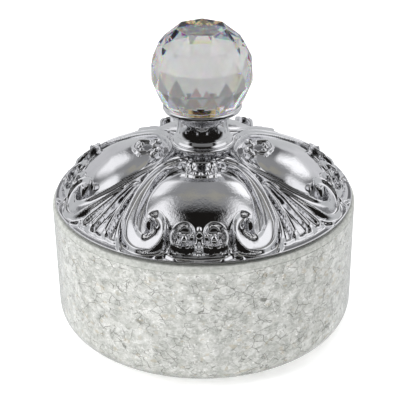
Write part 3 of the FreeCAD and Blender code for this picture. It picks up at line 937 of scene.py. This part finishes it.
# %% [markdown]
# The room is drawn in the world's shader. It starts as a sweep, pale from the floor up to 20
# degrees and grey above, and soft-edged panels are laid over it: soft boxes at the sides and
# behind, a grey one overhead with two small warm ones in it, and darkness in front with a
# bright slot and a dim one in it. Each panel has a bearing (0 in front, 90 to the right), a
# height above the horizon, half sizes and softness in degrees, and a colour. A panel later in
# the list covers those before it.


# %% room: the sweep and the panels
ABOVE, BELOW = (0.155, 0.155, 0.162), (0.60, 0.61, 0.62)
SWEEP_TOP, SWEEP_SOFT = 20.0, 0.03
PANELS = (
    # bearing, height, half width, half height, softness, colour
    (180, 66, 62, 24, 12, (0.30, 0.303, 0.31)),
    (152, 8, 14, 12, 6, (0.7, 0.7, 0.72)),
    (-152, 8, 14, 12, 6, (0.6, 0.6, 0.62)),
    (146, 34, 12, 12, 6, (1.3, 1.3, 1.32)),
    (-146, 34, 12, 12, 6, (1.05, 1.05, 1.07)),
    (0, 12, 58, 76, 7, (0.012, 0.011, 0.010)),
    (0, -60, 80, 60, 8, (0.012, 0.011, 0.010)),
    (0, 12, 46, 2.5, 1.2, (0.9, 0.9, 0.9)),
    (0, 29, 40, 6, 3, (0.20, 0.20, 0.20)),
    (152, 71, 7, 9, 1.2, (0.36, 0.35, 0.31)),
    (-152, 71, 7, 9, 1.2, (0.36, 0.35, 0.31)),
    (-84, 42, 24, 24, 8, (1.1, 1.1, 1.12)),
    (84, 42, 24, 24, 8, (1.1, 1.1, 1.12)),
)


def facing(tree, way, axis):
    """How far a direction points along an axis, 1 to -1."""
    wiring = {0: way, 1: tuple(axis)}
    return add_node(tree, "ShaderNodeVectorMath", wiring, operation="DOT_PRODUCT").outputs["Value"]


def within(tree, offset, depth, half, soft):
    """1 inside a panel's half size and 0 outside it, in one of its two directions."""
    angle = add_node(tree, "ShaderNodeMath", {0: offset, 1: depth}, operation="ARCTAN2").outputs[0]
    size = add_node(tree, "ShaderNodeMath", {0: angle}, operation="ABSOLUTE").outputs[0]
    edge = {"Value": size, "From Min": math.radians(half + soft), "From Max": math.radians(half - soft)}
    return add_node(tree, "ShaderNodeMapRange", edge, interpolation_type="SMOOTHSTEP").outputs["Result"]


def room_colour(tree, way):
    rise = math.sin(math.radians(SWEEP_TOP))
    height = facing(tree, way, (0, 0, 1))
    edge = {"Value": height, "From Min": rise - SWEEP_SOFT, "From Max": rise + SWEEP_SOFT}
    share = add_node(tree, "ShaderNodeMapRange", edge, interpolation_type="SMOOTHSTEP").outputs["Result"]
    colour = blend_colours(tree, share, BELOW, ABOVE)
    for bearing, height, half_wide, half_high, soft, shade in PANELS:
        b, h = math.radians(bearing), math.radians(height)
        middle = Vector((math.sin(b) * math.cos(h), -math.cos(b) * math.cos(h), math.sin(h)))
        right = Vector((math.cos(b), math.sin(b), 0))
        depth = facing(tree, way, middle)
        across = within(tree, facing(tree, way, right), depth, half_wide, soft)
        upright = within(tree, facing(tree, way, middle.cross(right)), depth, half_high, soft)
        share = add_node(tree, "ShaderNodeMath", {0: across, 1: upright}, operation="MULTIPLY").outputs[0]
        colour = blend_colours(tree, share, colour, shade)
    return colour


# %% [markdown]
# The crystal needs something else to show. Each facet bends the view its own way, so a ball in
# front of one even tone looks empty. It gets greys that step with height, and neighbouring
# facets then catch different ones. The camera itself sees plain white behind the box, and the
# world's shader tells the three kinds of ray apart.


# %% room: what the crystal and the camera see
# From straight down (0) to straight up (1).
BACKDROP = (
    (0.0, 0.78), (0.20, 0.66), (0.34, 0.72), (0.36, 0.52), (0.44, 0.60), (0.45, 0.34), (0.54, 0.42),
    (0.56, 0.26), (0.68, 0.34), (0.70, 0.62), (0.86, 0.30), (0.88, 0.90), (1.0, 0.20),
)


def backdrop_colour(tree, way):
    height = add_node(tree, "ShaderNodeMapRange", {"Value": facing(tree, way, (0, 0, 1)), "From Min": -1.0})
    ramp = add_node(tree, "ShaderNodeValToRGB", {"Fac": height.outputs[0]})
    stops = ramp.color_ramp.elements
    while len(stops) < len(BACKDROP):
        stops.new(1.0)
    for stop, (place, grey) in zip(stops, BACKDROP):
        stop.position, stop.color = place, (grey, grey, grey, 1)
    return ramp.outputs[0]


def studio_room():
    world = bpy.data.worlds.new("studio")
    bpy.context.scene.world = world
    world.use_nodes = True
    tree = world.node_tree
    tree.nodes.clear()
    way = add_node(tree, "ShaderNodeTexCoord").outputs["Generated"]

    def light(colour):
        return add_node(tree, "ShaderNodeBackground", {"Color": colour, "Strength": 1.0}).outputs[0]

    room, glass, plain_white = room_colour(tree, way), backdrop_colour(tree, way), (1, 1, 1, 1)
    ray = add_node(tree, "ShaderNodeLightPath").outputs
    by_piece = {0: ray["Is Transmission Ray"], 1: light(room), 2: light(glass)}
    seen = add_node(tree, "ShaderNodeMixShader", by_piece).outputs[0]
    behind_box = {0: ray["Is Camera Ray"], 1: seen, 2: light(plain_white)}
    whole = add_node(tree, "ShaderNodeMixShader", behind_box)
    tree.links.new(whole.outputs[0], add_node(tree, "ShaderNodeOutputWorld").inputs["Surface"])
    print("studio room:", len(PANELS), "panels,", len(BACKDROP), "backdrop steps")


studio_room()

# %% [markdown]
# Four soft lamps light the glass and the floor: one overhead, a strong one at the left, a faint
# one at the right and a dim one in front. They are left out of the metal's reflections and of the
# crystal, because the room above already stands for them there. Places and sizes are in metres.


# %% lamps
LAMP_AIM = Vector((0, 0, 0.05))


def lamp(name, place, size, power):
    light = bpy.data.lights.new(name, "AREA")
    light.size = size
    light.energy = power
    holder = bpy.data.objects.new(name, light)
    holder.location = place
    holder.rotation_euler = (LAMP_AIM - Vector(place)).to_track_quat("-Z", "Y").to_euler()
    holder.visible_glossy = False
    holder.visible_transmission = False
    bpy.context.scene.collection.objects.link(holder)
    print("lamp:", name, power, "watts")


lamp("overhead", (0.0, 0.1, 0.9), 0.9, 4.5)
lamp("left_box", (-0.8, -0.35, 0.5), 0.6, 4.2)
lamp("right_box", (0.8, -0.35, 0.5), 0.6, 0.3)
lamp("front_fill", (0.0, -0.9, 0.35), 0.5, 1.1)

# %% [markdown]
# ## Camera
#
# The camera stands a little above the box and looks down at it by 27 degrees, from half a metre,
# with a long lens. It leans by less than a degree.


# %% camera
FIELD, BEARING, HEIGHT, LEAN = (math.radians(angle) for angle in (16, 2.0, 26.96, -0.71))
DISTANCE, AIM_HEIGHT = 498.8, 44.55


def camera():
    lens = bpy.data.cameras.new("camera")
    lens.angle = FIELD
    lens.clip_start = 0.01
    lens.shift_x = -0.00885
    holder = bpy.data.objects.new("camera", lens)
    level_out = (math.sin(BEARING) * math.cos(HEIGHT), -math.cos(BEARING) * math.cos(HEIGHT))
    out = Vector((*level_out, math.sin(HEIGHT)))
    holder.location = Vector((0, 0, AIM_HEIGHT * MM)) + out * DISTANCE * MM
    turn = (-out).to_track_quat("-Z", "Y").to_matrix().to_4x4()
    holder.rotation_euler = (turn @ Matrix.Rotation(LEAN, 4, "Z")).to_euler()
    bpy.context.scene.collection.objects.link(holder)
    bpy.context.scene.camera = holder
    print("camera at", [round(c, 4) for c in holder.location])


camera()
bpy.context.scene.view_settings.view_transform = "Standard"

# %% [markdown]
# ## Finish
#
# The visible model has to keep the CAD model's size.

# %% finish
bpy.context.view_layer.update()
